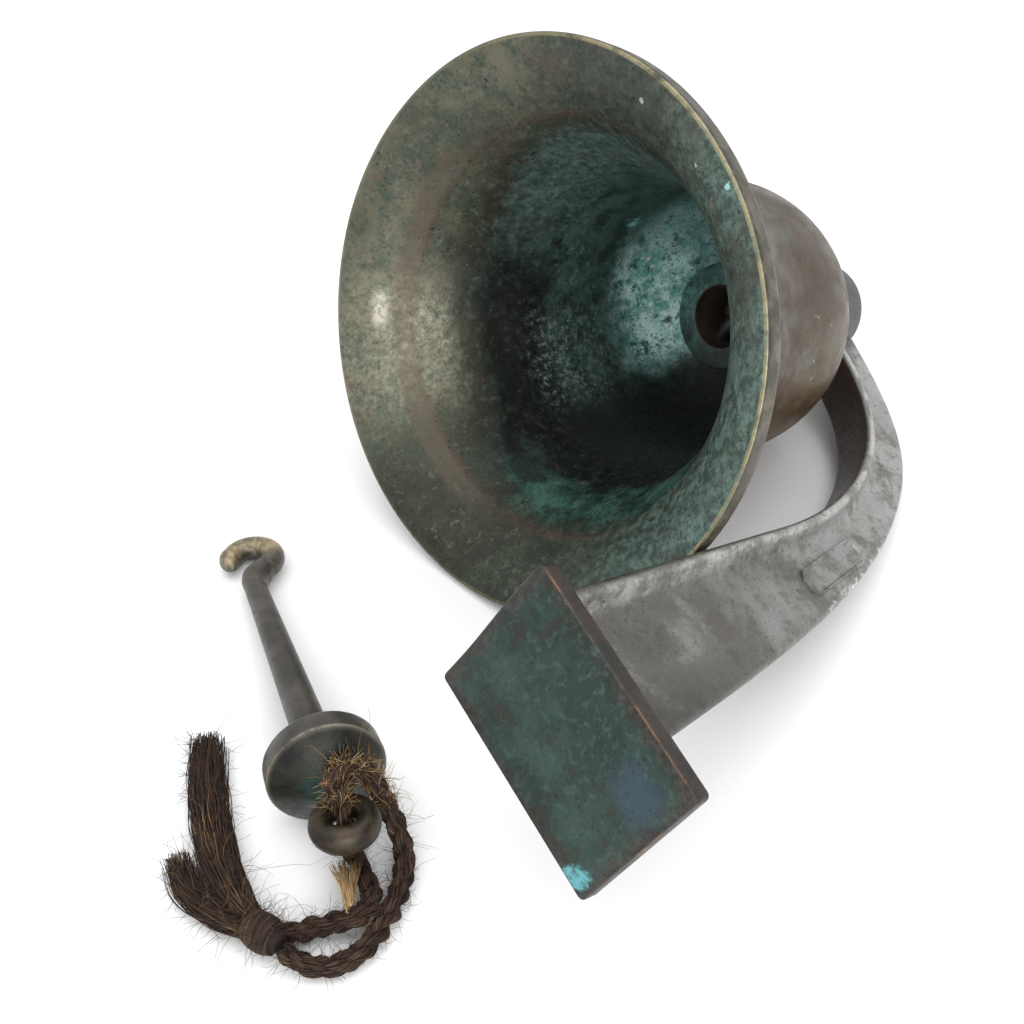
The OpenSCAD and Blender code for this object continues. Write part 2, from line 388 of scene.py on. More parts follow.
def bundle(name, route, count, radii, flat, d, spread, tone_shift=0.0):
    """Unlaid fibres that run side by side along a route, radii wide, and end unevenly."""
    path = catmull(row(route), 3.0)
    s = arc_length(path)
    t, u, w = frames(path)
    total = s[-1]
    b = Build()
    for _ in range(count):
        rad = math.sqrt(rng.uniform(0, 1))
        a = rng.uniform(0, 2 * math.pi)
        end = total * (1 - abs(rng.normal(0, 0.10)))
        drift = rng.normal(0, spread, 2)
        wave = rng.uniform(0, 6.28)
        pts = []
        for i in range(len(path)):
            if s[i] > end + 3:
                break
            f = s[i] / total
            r = np.interp(f, [q[0] for q in radii], [q[1] for q in radii]) * rad
            side = np.array([-t[i][1], t[i][0], 0])
            side /= np.linalg.norm(side)
            x = r * math.cos(a) + drift[0] * f * f + 0.5 * math.sin(s[i] * 0.22 + wave)
            z = r * math.sin(a) * flat + drift[1] * f * f * 0.3 + 0.3 * math.cos(s[i] * 0.3 + wave)
            p = path[i] + side * x + np.array([0, 0, z])
            p[2] = max(p[2], TABLE_GAP)
            pts.append(p)
        if len(pts) > 2:
            pts = np.array(pts)
            b.tube(pts, np.linspace(d / 2, d / 3.2, len(pts)), 4,
                   min(1, max(0, rng.normal(0.45, 0.22) + tone_shift)))
    return b.piece(name), path


main_route = [(-231, -92, 8), (-230, -80, 8), (-226, -64, 8), (-219, -47, 7.5), (-210, -30, 6.5),
              (-200, -14, 5.5), (-190, 1, 4.5)]
side_route = [(-235, -92, 7), (-239, -79, 6.5), (-241, -67, 6), (-239, -54, 5), (-234, -42, 4)]
tassel_main, main_path = bundle(
    "tassel_main", main_route, 520, [(0, 4.5), (0.2, 7), (0.5, 8.3), (0.8, 7.2), (1, 5.5)],
    0.7, 0.5, 1.6, -0.12)
tassel_side, side_path = bundle(
    "tassel_side", side_route, 240, [(0, 3.5), (0.3, 5.5), (0.7, 6), (1, 5)], 0.65, 0.45, 1.8, -0.18)
tuft_route = [(-204, -116, 11), (-199, -109, 12), (-194, -101, 11), (-190, -95, 9)]
tuft, _ = bundle("tuft_fibres", tuft_route, 110, [(0, 1.5), (0.5, 3.0), (1, 5.0)], 0.6, 0.35, 1.5, 0.35)


def knot():
    """The whipped knot: a lumpy barrel with short turns of twine wound over it."""
    axis_pts = catmull(row([(-229.5, -106, 8), (-231.5, -98, 8.6), (-233.5, -89, 8.2)]), 0.35)
    s = arc_length(axis_pts)
    t, u, w = frames(axis_pts)
    b = Build()
    f = s / s[-1]
    radii = 7.2 * np.power(np.sin(np.pi * np.clip(f * 0.86 + 0.07, 0, 1)), 0.45)

    def lumps(i, a):
        return 0.05 * math.sin(2 * a + f[i] * 3) + 0.03 * math.sin(3 * a - f[i] * 5)
    b.tube(axis_pts, radii, 72, 0.12, lumps)
    for _ in range(26):
        turns = rng.uniform(1.2, 2.4)
        mid = rng.uniform(0.12, 0.88)
        wide = rng.uniform(0.03, 0.10)
        phase = rng.uniform(0, 2 * math.pi)
        pts = []
        for q in np.linspace(0, 1, int(26 * turns)):
            at = min(1, max(0, mid + wide * (q - 0.5) * 2 + 0.05 * math.sin(q * 5 + phase)))
            i = int(at * (len(axis_pts) - 1))
            a = phase + q * turns * 2 * math.pi
            p = axis_pts[i] + (radii[i] * (1 + lumps(i, a)) + 0.25) * around(u[i], w[i], a)
            p[2] = max(p[2], 0.5)
            pts.append(p)
        b.tube(np.array(pts), np.full(len(pts), rng.uniform(0.35, 0.6)), 6, rng.uniform(0.1, 0.6))
    return b.piece("knot_whipping"), axis_pts


knot_piece, knot_path = knot()
fuzz_piece = fuzz("stray_fibres", [(over_path, 4.2), (under_path, 4), (knot_path, 7)], 900)
fuzz_tassel = fuzz("stray_tassel_fibres", [(main_path, 6.5), (side_path, 5)], 300, (4, 5), 0.22)
frays = fuzz("golden_frays", [(over_path, 4.6)], 330, (3, 2.2), 0.3, 1.1, (0.06, 0.34), 0.25)

[tuple(p * 0.001) for p in over_path[::4]]
[tuple(p * 0.001) for p in under_path[::3]]


# -------------------- bell
def flare(x, x0, x1, r0, r1, n):
    """Radius along a mouth that curves from r0 at x0 into a straight side at x1."""
    return r1 + (r0 - r1) * (1 - (1 - (1 - (x - x0) / (x1 - x0)) ** n) ** (1 / n))


def dome(x, x0, length, r, n):
    """Radius along a crown that starts at x0 and would close after a length."""
    return r * max(0.0, 1 - max(0.0, (x - x0) / length) ** n) ** (1 / n)


BELL_H = 194.8      # mouth to crown, outside
CROWN_IN = 184.0    # mouth to crown, inside
DOME_X = 118.0      # where the crown's curve starts
WAIST = 69.5        # radius, outside
INNER = 64.0        # radius, inside
STUD_HOLE = 8.6     # radius


def bell_mesh():
    """The bell's whole shell in one turned skin: round the lip, up to the crown, and back down inside."""
    out = [(0.0, 125.4), (0.05, 126.2), (0.35, 126.75), (0.9, 127.0), (1.6, 127.05), (3, 126.85),
           (6, 126.4), (9, 125.95), (10.2, 125.7), (10.75, 125.3), (11.0, 124.6), (11.2, 123.6)]
    out += [(x, flare(x, 10.9, DOME_X, 124, WAIST, 1.52))
            for x in 12.2 + (DOME_X - 12.2) * np.linspace(0, 1, 40) ** 1.35]
    for a in np.linspace(0.03, 1, 34):
        x = DOME_X + (BELL_H - DOME_X) * math.sin(a * math.pi / 2)
        out.append((x, max(22.0, dome(x, DOME_X, 78, WAIST, 2.55))))
    out += [(BELL_H, 21), (BELL_H, 12), (BELL_H, STUD_HOLE), (CROWN_IN, STUD_HOLE)]
    inner_x = DOME_X - 3
    inner_dome = []
    for a in np.linspace(0.03, 0.995, 30):
        x = inner_x + (CROWN_IN - inner_x) * math.sin(a * math.pi / 2)
        inner_dome.append((x, dome(x, inner_x, 72, INNER, 2.55)))
    out += inner_dome[::-1]
    inner = []
    for x in inner_x * np.linspace(0, 1, 56)[::-1] ** 1.9:
        x = max(x, 0.25)
        r = flare(x, 0, inner_x, 125, INNER, 1.75)
        r -= 0.55 * math.exp(-((x - 21) / 1.1) ** 2)
        inner.append((x, r))
    out += inner + [(0.08, 124.4)]

    def wobble(x, r, a):
        return 0.12 * math.sin(3 * a + x * 0.02) + 0.10 * math.sin(7 * a + x * 0.05 + 1) * (r / 127)
    return lathe("bell_casting", out, 288, BELL, closed=True, sharp=38, wobble=wobble)


bell = bell_mesh()
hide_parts("bell_lip", "bell_waist", "bell_crown")


# -------------------- bracket
def bez(a, b, c, d, t):
    """A point of a cubic curve."""
    a, b, c, d = (np.array(v, float) for v in (a, b, c, d))
    return a * (1 - t) ** 3 + 3 * b * t * (1 - t) ** 2 + 3 * c * t * t * (1 - t) + d * t ** 3


def even(points, n):
    """n points, evenly spaced along a run."""
    p = np.array(points)
    s = arc_length(p)
    k = np.linspace(0, s[-1], n)
    return np.stack([np.interp(k, s, p[:, i]) for i in range(p.shape[1])], 1)


def arm_mesh():
    """The T-section arm: a flange along the inner edge, filleted into a web with a round outer edge."""
    ts = np.linspace(0, 1, 60)
    outer = np.vstack([
        [bez((-110.3, 200), (-31, 186), (75, 174), (146.5, 139), t) for t in ts[:-1]],
        [bez((146.5, 139), (203.5, 111), (221, 87), (238.5, 26), t) for t in ts]])
    inner = np.vstack([
        [np.array([-110.3, 132]) * (1 - t) + np.array([60, 128]) * t for t in ts[:-1]],
        [bez((60, 128), (140, 124), (199, 84), (200, 18), t) for t in ts]])
    n = 220
    outer, inner = even(outer, n), even(inner, n)
    web = 3.5       # half its thickness

    def section(reach, length):
        """(distance from the inner edge, distance out from the web's middle), for one flange."""
        f = reach - web
        ring = [(0.0, 0.0), (0.0, 0.5 * reach), (0.0, reach - 2.4), (0.3, reach - 1.1), (1.2, reach - 0.25),
                (2.5, reach), (4.1, reach - 0.3), (5.1, reach - 1.2), (5.8, reach - 2.6),
                (6.6, web + 0.55 * f), (8.2, web + 0.31 * f), (10.6, web + 0.13 * f),
                (13.5, web + 0.04 * f), (17, web)]
        for q in np.linspace(0.12, 1, 7):
            ring.append((17 + (length - 17 - 3.2) * q, web + 0.5 * math.sin(q * math.pi)))
        for a in (22, 45, 67):
            ring.append((length - 3.2 + 3.2 * math.sin(math.radians(a)), web * math.cos(math.radians(a))))
        return ring + [(length, 0.0)]
    verts, tones = [], []
    for k in range(n):
        d = outer[k] - inner[k]
        length = np.linalg.norm(d)
        d /= length
        near = section(13.9, length)
        far = section(11.2, length)
        full = [(u, -z) for u, z in near] + far[-2:0:-1]
        for u, z in full:
            p = inner[k] + d * u
            verts.append((p[0], p[1], z))
            tones.append(u / length)
    cols = len(full)
    faces = grid_faces(n, cols)
    faces.append(tuple(reversed(range(cols))))
    faces.append(tuple(range((n - 1) * cols, n * cols)))
    ob = mesh_piece("bracket_arm_casting", verts, faces, BELL, sharp=50)
    return toned(ob, tones)


def cartouche_mesh():
    """The blank raised eight-sided panel on the arm, with a raised rim."""
    a, h, c = 26.5, 7.0, 4.2        # half its length, half its width, and its cut corners
    corner = [(a, h - c), (a - c, h), (c - a, h), (-a, h - c),
              (-a, c - h), (c - a, -h), (a - c, -h), (a, c - h)]
    levels = [(0, 0.6), (0, -0.6), (0.3, -1.15), (1.0, -1.2), (1.5, -0.7), (1.8, -0.35), (4, -0.4),
              (6.2, -0.42)]     # (distance in from the edge, height)
    verts = []
    for inset, z in levels:
        for k in range(8):
            p, q = corner[k], corner[(k + 1) % 8]
            for m in range(5):
                f = m / 5
                x, y = p[0] + (q[0] - p[0]) * f, p[1] + (q[1] - p[1]) * f
                verts.append((x * (1 - inset / a), y * (1 - inset / h), z))
    faces = grid_faces(len(levels), 40)
    faces.append(tuple(reversed(range(40))))
    faces.append(tuple(range((len(levels) - 1) * 40, len(levels) * 40)))
    place = Matrix.Translation((82, 149.2, -3.9)) @ Matrix.Rotation(math.radians(-11), 4, "Z")
    ob = mesh_piece("arm_blank_cartouche", [place @ Vector(v) for v in verts], faces, BELL, sharp=35)
    return toned(ob, [0.45] * len(verts))


arm = arm_mesh()
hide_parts("bracket_arm")
cartouche = cartouche_mesh()


def foot_mesh():
    """The flat foot plate, its edges rounded by wear and its inner short edge a little wavy."""
    x0, x1, y0, y1 = -118.2, -110.3, 129.7, 226.5
    hy, hz = (y1 - y0) / 2, 35.25       # half its sides
    c = 2.2                             # its corners' radius
    # one side and its corner, four times round: (direction, half the side along it, half across, steps)
    loop = []
    for turn, along, across, steps in ((0, hz, hy, 30), (1, hy, hz, 40), (2, hz, hy, 30), (3, hy, hz, 40)):
        side = [((c - along) + 2 * (along - c) * k / steps, -across) for k in range(steps + 1)]
        for a in (30, 60):
            q = math.radians(a)
            side.append((along - c + c * math.sin(q), c - across - c * math.cos(q)))
        for run, out in side:
            loop.append(((out, run), (run, -out), (-out, -run), (-run, out))[turn])
    cy = (y0 + y1) / 2
    rings = [(x0, 1.2), (x0 + 0.15, 0.55), (x0 + 0.55, 0.15), (x0 + 1.2, 0), (x0 + 3, 0),
             (x1 - 1.4, 0), (x1 - 0.7, 0.2), (x1 - 0.2, 0.7), (x1, 1.4)]
    verts = []
    for x, inset in rings:
        for y, z in loop:
            if y < 4 - hy:
                y += 0.55 * math.sin(z / hz * 2.6) * (1 - (y + hy) / 4)
            verts.append((x, cy + y * (1 - inset / hy), z * (1 - inset / hz)))
    m = len(loop)
    faces = [tuple(reversed(f)) for f in grid_faces(len(rings), m)]
    for base, flip in ((0, False), ((len(rings) - 1) * m, True)):
        face = tuple(range(base, base + m))
        faces.append(tuple(reversed(face)) if flip else face)
    return mesh_piece("bracket_foot_casting", verts, faces, BELL, sharp=30)


foot = foot_mesh()
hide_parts("bracket_foot")

boss_x = BELL_H + 3.1
boss = lathe("bracket_boss_casting",
             [(boss_x, 8.4), (boss_x, 22), (boss_x + 0.5, 23.6), (boss_x + 1.6, 24.4), (boss_x + 4, 24.6)]
             + [(boss_x + 39 + 6 * math.sin(math.radians(a)), 18.5 + 6 * math.cos(math.radians(a)))
                for a in range(0, 91, 9)]
             + [(boss_x + 45.3, 12), (boss_x + 45.4, 0.01)], 128, BELL, sharp=38)
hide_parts("bracket_boss")
toned(boss, [0.45] * len(boss.data.vertices))

# -------------------- hanger, pin and washers
head_x = CROWN_IN - 3.1
# its recess, its rim, and its threaded stud, as (distance from its seat, radius)
hanger_prof = [
    (-8, 0.01), (-8, 11), (-9, 14), (-11, 15.5), (-35.5, 15.5), (-36.6, 16.0), (-37, 17.2), (-37, 24.6),
    (-36.6, 26), (-35.5, 26.8), (-33, 27), (-2.5, 27), (-0.9, 26.4), (0, 24.8), (0, 9), (0.6, 8)]
hanger_prof += [(3 + 0.75 * k, 7.9 if k % 2 else 7.2) for k in range(52)]
hanger = lathe("hanger_casting", [(head_x + x, r) for x, r in hanger_prof]
               + [(boss_x + 28.4, 6.5), (boss_x + 28.5, 0.01)], 96, BELL, sharp=35)
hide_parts("clapper_hanger")

half_pin = [(5, 3.75), (7, 4.0), (24, 4.0), (25.4, 3.95), (26.2, 3.4), (26.5, 2.6)]
pin_prof = [(-x, r) for x, r in half_pin[::-1]] + [(0, 3.6)] + half_pin
PIN_X = 0.1599      # the middle of the pin, in metres from the mouth
PIN = BELL @ Matrix.Translation((PIN_X, 0, 0)) @ Matrix.Rotation(math.radians(-90), 4, "Y")
pin = lathe("hanger_pin_bar", pin_prof, 40, PIN, sharp=35)
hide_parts("hanger_pin")

# -------------------- clapper
def hook_mesh():
    """The open ring: thick where it leaves the shank's head, and tapering to a blunt tip."""
    pts = [(26, -2.2, 0), (22, -2.1, 0), (18, -1.8, 0), (14.5, -0.6, 0), (11.8, 1.8, 0)]
    rad = [5.15, 5.5, 6.2, 6.5, 6.2]
    for k in range(22):
        f = k / 21
        a = math.radians(30 + 262 * f)
        r = 9.9 + 0.7 * math.sin(f * math.pi)
        pts.append((r * math.cos(a), r * math.sin(a), 0))
        rad.append(5.55 - 0.3 * f if f < 0.8 else 5.3 * (1 - ((f - 0.8) / 0.215) ** 1.7) + 0.35)
    path = catmull(pts, 0.7)
    s = arc_length(path)
    knots = arc_length(np.array(pts))
    b = Build()
    b.tube(path, np.interp(s, knots * s[-1] / knots[-1], rad), 40, 0.5)
    return b.piece("clapper_hook_casting", CLAP)


hook = hook_mesh()
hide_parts("clapper_hook")
# the shank leans a little from the ball toward the hook's root
ball_at = Matrix.Translation((0.152, 0, 0))
SHANK = CLAP @ ball_at @ Matrix.Rotation(math.radians(1.1), 4, "Z") @ ball_at.inverted()
shank_prof = [(14, 4.0), (15, 4.8), (17.5, 5.1), (22, 5.2), (40, 5.6), (80, 6.6), (120, 7.6),
              (136, 7.95), (141, 8.1), (143.5, 8.5), (145, 9.6)]
shank = lathe("clapper_shank_casting", shank_prof, 64, SHANK, sharp=60)
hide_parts("clapper_shank")
ball_prof = [
    (143.4, 7.8), (143.6, 9.5), (144.1, 13), (144.8, 17), (145.7, 20.6), (146.6, 23.0), (147.2, 23.9),
    (148.0, 24.3), (152, 24.5), (155.6, 24.65), (156.3, 24.6), (156.75, 24.3), (157.5, 23.3), (159.2, 21.6),
    (161.6, 18.6), (164.0, 15.2), (166.4, 12.0), (168.6, 9.8), (171.2, 8.2), (174.5, 7.1), (178, 6.6)]
ball = lathe("clapper_ball_casting", ball_prof, 144, CLAP, sharp=33)
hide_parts("clapper_ball")


def eye_mesh():
    """The rope's ring, thicker on its outer side."""
    n, sides = 96, 36
    middle, radius = 186, 9.4
    verts = []
    for k in range(n):
        a = 2 * math.pi * k / n
        rod = 4.9 + 0.55 * math.cos(a)
        for j in range(sides):
            q = 2 * math.pi * j / sides
            rr = radius + rod * math.cos(q)
            verts.append((middle + rr * math.cos(a), rr * math.sin(a), rod * 1.12 * math.sin(q)))
    faces = [tuple(reversed(f)) for f in grid_faces(n, sides, True, True)]
    return mesh_piece("clapper_eye_casting", verts, faces, CLAP)


eye = eye_mesh()
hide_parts("clapper_eye")


# -------------------- materials
# Places are in metres, in the piece's own frame, as Nodes.place() gives them. Colours are linear.
LIP_BACK = 0.0106         # where the lip's outer band ends
CREASE = 0.0215           # the line turned inside the flare
CREASE_BAND = 0.0175      # the middle of the brown band beside it
RIM_RADII = 0.1247, 0.1254    # the worn edge of the mouth begins between these
FOOT_ARRIS = -0.1175      # the edge round the foot plate's face
FOOT_MIDDLE = 0.1781      # the foot plate's middle, along Y
FOOT_BLUE = 0.213, -0.014     # the middle of its bluish patch, along Y and Z
BALL_RIM = 0.1566         # the striker's crisp edge, worn and with a painted highlight
# the near-black painted shade deep in the throat's lower side
THROAT_SHADE = (0.012, 0.011, 0.008)
# marks inside the bell: where (mm), how wide (mm), and their colour
NICKS = [((5, -29, -108), 2.6, (0.012, 0.014, 0.012)), ((4, -25, -110), 1.5, (0.45, 0.47, 0.42)),
         ((5, 13, -111), 1.4, (0.5, 0.5, 0.44)), ((7, 10, -108), 1.1, (0.4, 0.42, 0.38)),
         ((1, 32, -118), 1.6, (0.35, 0.62, 0.56)), ((128, -64, -2), 3.6, (0.24, 0.55, 0.50)),
         ((9, 80, -68), 6.0, (0.13, 0.17, 0.155))]


def polar(m, y, z):
    """Distance from the bell's axis, and how far round a point is toward two sides of the mouth."""
    r = m.math("SQRT", m.add(m.mul(y, y), m.mul(z, z)))
    u = m.math("DIVIDE", m.add(m.mul(y, 0.711), m.mul(z, -0.704)), r)
    v = m.math("DIVIDE", m.add(m.mul(y, 0.79), m.mul(z, 0.613)), r)
    return r, u, v


def nick(m, co, at, size, noise):
    """A small ragged mark round one point of the surface."""
    d = m.new("VectorMath")
    d.operation = "DISTANCE"
    m.put(d, 0, co)
    d.inputs[1].default_value = tuple(c * 0.001 for c in at)
    ragged = m.drift(d.outputs["Value"], m.add(noise, -0.5), size * 0.006)
    return m.ramp(ragged, size * 0.001, size * 0.0004)


def metal_bell_out():
    """Brown bronze, redder on one side, greenish in patches, with an olive lip."""
    m = Nodes("bell_outside")
    co, x, y, z = m.place()
    v = polar(m, y, z)[2]
    big = m.noise(co, 14, 8, 0.62, 0.3)
    mid = m.noise(co, 60, 8, 0.68)
    spk = m.noise(co, 500, 5, 0.7)
    base = m.pair(big, 0.38, 0.64, (0.050, 0.038, 0.026), (0.088, 0.070, 0.050))
    base = m.spots(base, v, 0.0, 0.8, 0.8, (0.115, 0.074, 0.036))
    base = m.spots(base, mid, 0.52, 0.66, 0.65, (0.06, 0.046, 0.032))
    base = m.spots(base, m.noise(co, 30, 7, 0.65), 0.56, 0.68, 0.5, (0.10, 0.112, 0.095))
    base = m.spots(base, spk, 0.6, 0.7, 0.6, (0.04, 0.03, 0.022))
    pale = m.mul(m.ramp(m.noise(co, 240, 4, 0.6), 0.66, 0.72), m.ramp(mid, 0.4, 0.6))
    base = m.over(base, pale, 0.6, (0.30, 0.28, 0.22))
    lip_c = m.pair(mid, 0.4, 0.62, (0.045, 0.044, 0.033), (0.115, 0.104, 0.076))
    base = m.over(base, m.ramp(x, 0.0135, 0.0105), 0.85, lip_c)
    # a pale line at the back of the lip's band: a painted highlight
    edge = m.mul(m.near(x, LIP_BACK, 0.0011, 0.0002), m.ramp(mid, 0.25, 0.70, 0.15, 1.0))
    base = m.over(base, edge, 0.45, (0.42, 0.38, 0.28))
    rough = m.ramp(m.noise(co, 80, 6, 0.65), 0.3, 0.7, 0.34, 0.56)
    nrm = m.bump(m.noise(co, 260, 6, 0.7), 0.28, 0.0004, m.bump(mid, 0.12, 0.001))
    return m.set(color=base, metal=m.ramp(mid, 0.45, 0.65, 0.62, 0.3), rough=rough, normal=nrm)


def metal_bell_in():
    """Olive flare with rubbed wear under a painted highlight, a dark throat with dust and painted shade,
    and a verdigris crown with a painted floor reflection.
    """
    m = Nodes("bell_inside")
    co, x, y, z = m.place()
    r, u, v = polar(m, y, z)
    blot = m.noise(co, 24, 10, 0.74, 0.1)
    mid = m.noise(co, 60, 10, 0.76, 0.1)
    fin = m.noise(co, 210, 9, 0.78)
    spk = m.noise(co, 620, 5, 0.65)
    loose = m.mul(m.add(blot, -0.5), 1.5)
    # the regions meet along ragged lines, and on the left side deeper in the bell
    left = m.mul(m.near(v, -0.15, 1.0, 0.55), m.ramp(u, 0.0, -0.5))
    xs = m.drift(x, m.add(blot, -0.5), 0.045)
    xs = m.add(xs, m.mul(left, m.ramp(x, 0.10, 0.05, 0, -0.019)))

    # the flare: olive-grey patina, paler on the left, greener on the right and below
    olive = m.pair(blot, 0.36, 0.6, (0.036, 0.046, 0.031), (0.115, 0.112, 0.078))
    olive = m.spots(olive, mid, 0.46, 0.60, 0.8, (0.036, 0.058, 0.040))
    olive = m.spots(olive, m.noise(co, 40, 9, 0.75), 0.52, 0.64, 0.65, (0.10, 0.072, 0.05))
    olive = m.spots(olive, fin, 0.53, 0.66, 0.6, (0.17, 0.17, 0.13))
    green = m.pair(fin, 0.4, 0.62, (0.034, 0.058, 0.047), (0.125, 0.19, 0.16))
    green = m.spots(green, blot, 0.48, 0.62, 0.75, (0.05, 0.046, 0.035))
    side = m.ramp(m.add(m.add(u, m.mul(v, 0.5)), loose), -0.1, 0.75)
    rim = m.mix(side, olive, green)
    above = m.mul(m.ramp(m.drift(v, loose, 0.6), -0.45, -0.9), m.ramp(u, -0.5, 0.15))
    above = m.mul(above, m.ramp(u, -0.05, 0.45, 0.1, 0.85))
    rim = m.mix(above, rim, m.pair(fin, 0.4, 0.6, (0.018, 0.024, 0.02), (0.055, 0.064, 0.055)))
    below = m.mul(m.ramp(m.drift(v, loose, 0.7), 0.12, 0.62), m.ramp(u, 0.75, -0.1))
    dusk = m.pair(mid, 0.42, 0.6, (0.014, 0.016, 0.010), (0.036, 0.040, 0.025))
    dusk = m.spots(dusk, blot, 0.5, 0.62, 0.6, (0.03, 0.052, 0.04))
    rim = m.over(rim, below, 0.85, m.pair(fin, 0.54, 0.66, dusk, (0.10, 0.10, 0.07)))
    shade = m.mul(left, m.ramp(xs, 0.004, 0.026))
    rim = m.over(rim, shade, 0.75, m.pair(fin, 0.5, 0.64, (0.014, 0.015, 0.010), (0.05, 0.052, 0.036)))
    brow = m.mul(m.near(xs, 0.032, 0.016, 0.004), m.ramp(v, -0.3, -0.7))
    rim = m.over(rim, brow, 0.4, m.pair(fin, 0.44, 0.62, (0.018, 0.020, 0.014), (0.055, 0.062, 0.046)))

    # the throat and dome: teal over black, with pits, pale dust, painted shade deep on the left and lower
    # sides, and a painted lit patch above
    teal = m.pair(mid, 0.40, 0.58, (0.014, 0.026, 0.022), (0.052, 0.094, 0.082))
    teal = m.spots(teal, fin, 0.52, 0.66, 0.7, (0.11, 0.20, 0.18))
    teal = m.spots(teal, m.noise(co, 33, 9, 0.72), 0.55, 0.62, 0.85, (0.014, 0.016, 0.012))
    throat = m.mul(m.ramp(xs, 0.022, 0.036), m.ramp(xs, 0.095, 0.072))
    # painted shade deep on the throat's left side
    left_throat_shade = m.mul(m.ramp(m.drift(v, loose, 0.4), -0.8, -0.35), throat)
    teal = m.over(teal, left_throat_shade, 0.94,
                  m.pair(fin, 0.5, 0.66, (0.003, 0.003, 0.002), (0.018, 0.020, 0.014)))
    # a painted lit patch on the throat's upper side
    lit = m.mul(m.ramp(m.drift(v, loose, 0.5), -0.5, -0.85), m.ramp(xs, 0.085, 0.05))
    teal = m.over(teal, lit, 0.6, m.pair(fin, 0.38, 0.6, (0.045, 0.07, 0.06), (0.12, 0.17, 0.15)))
    # painted shade deep on the throat's lower side
    low_throat_shade = m.mul(m.ramp(m.drift(v, loose, 0.3), 0.25, 0.7), m.ramp(xs, 0.06, 0.085))
    teal = m.over(teal, low_throat_shade, 0.92, THROAT_SHADE)
    # the crown's verdigris, painted lighter as a reflection of the floor, and darker toward the upper side
    crown = m.mul(m.ramp(xs, 0.126, 0.152), m.ramp(m.drift(v, loose, 0.4), 0.5, 0.1))
    verd_and_reflection = m.pair(mid, 0.40, 0.6, (0.12, 0.38, 0.35), (0.60, 0.92, 0.88))
    verd_and_reflection = m.spots(verd_and_reflection, fin, 0.48, 0.64, 0.9, (0.86, 0.97, 0.94))
    verd_and_reflection = m.spots(verd_and_reflection, m.noise(co, 100, 8, 0.75), 0.54, 0.62, 0.95, (0.03, 0.10, 0.085))
    verd_and_reflection = m.mix(m.ramp(m.drift(v, loose, 0.5), -0.45, -0.9, 0, 0.7), verd_and_reflection, (0.06, 0.17, 0.15))
    teal = m.mix(crown, teal, verd_and_reflection)
    dust = m.mul(m.near(xs, 0.100, 0.040, 0.018), m.near(v, 0.18, 0.5, 0.2))
    dust = m.mul(dust, m.ramp(m.noise(co, 330, 8, 0.8), 0.50, 0.60))
    teal = m.over(teal, dust, 0.8, (0.20, 0.25, 0.225))
    pool = m.mul(m.near(xs, 0.040, 0.015, 0.005), m.ramp(m.drift(v, loose, 0.4), 0.55, 0.95))
    teal = m.over(teal, pool, 0.75, m.pair(mid, 0.4, 0.6, (0.014, 0.034, 0.027), (0.07, 0.18, 0.145)))
    base = m.mix(m.ramp(xs, 0.024, 0.036), rim, teal)

    # a brown line at the crease, black pits, and coloured specks
    crease = m.mul(m.near(x, CREASE, 0.0034, 0.0008), m.ramp(mid, 0.36, 0.58))
    base = m.over(base, crease, 0.6, (0.08, 0.052, 0.038))
    specks = m.mul(m.ramp(spk, 0.55, 0.66), m.ramp(mid, 0.4, 0.6, 0.3, 1.0))
    base = m.mix(specks, base, (0.006, 0.008, 0.006))
    pits = m.mul(m.ramp(m.noise(co, 380, 6, 0.7), 0.60, 0.66), m.ramp(xs, 0.05, 0.1))
    base = m.over(base, pits, 0.9, (0.007, 0.02, 0.017))
    pale = m.mul(m.ramp(m.noise(co, 800, 3, 0.6), 0.66, 0.74), m.ramp(fin, 0.46, 0.6))
    base = m.over(base, pale, 0.75, (0.26, 0.38, 0.33))
    blue = m.mul(m.ramp(m.noise(co, 90, 3, 0.5), 0.70, 0.77), m.ramp(mid, 0.4, 0.6))
    base = m.over(base, blue, 0.6, (0.085, 0.10, 0.17))
    rust = m.mul(m.ramp(m.noise(co, 130, 4, 0.5), 0.70, 0.76), m.ramp(fin, 0.4, 0.6))
    base = m.over(base, rust, 0.6, (0.19, 0.085, 0.03))
    for at, size, tint in NICKS:
        base = m.over(base, nick(m, co, at, size, fin), 0.85, tint)

    # the rubbed left side with a painted highlight over its wear, a brown band and a painted highlight
    # spot, and the worn edge of the mouth
    # rubbed wear on the left flare, painted lighter as a highlight
    rub_and_highlight = m.mul(m.ramp(m.drift(u, loose, 0.6), -0.45, -1.0), m.ramp(xs, 0.027, 0.010))
    rub_and_highlight = m.mul(rub_and_highlight, m.ramp(m.noise(co, 260, 11, 0.88), 0.36, 0.70))
    rub_and_highlight = m.mul(rub_and_highlight, m.near(m.drift(v, loose, 0.2), 0.0, 0.5, 0.1, 0.08, 1.0))
    base = m.over(base, rub_and_highlight, 0.62, (0.42, 0.395, 0.30))
    band = m.mul(m.near(x, CREASE_BAND, 0.0055, 0.0025), m.ramp(u, -0.2, -0.8))
    band = m.mul(band, m.ramp(fin, 0.3, 0.6, 0.4, 1.0))
    base = m.over(base, band, 0.6, (0.095, 0.074, 0.055))
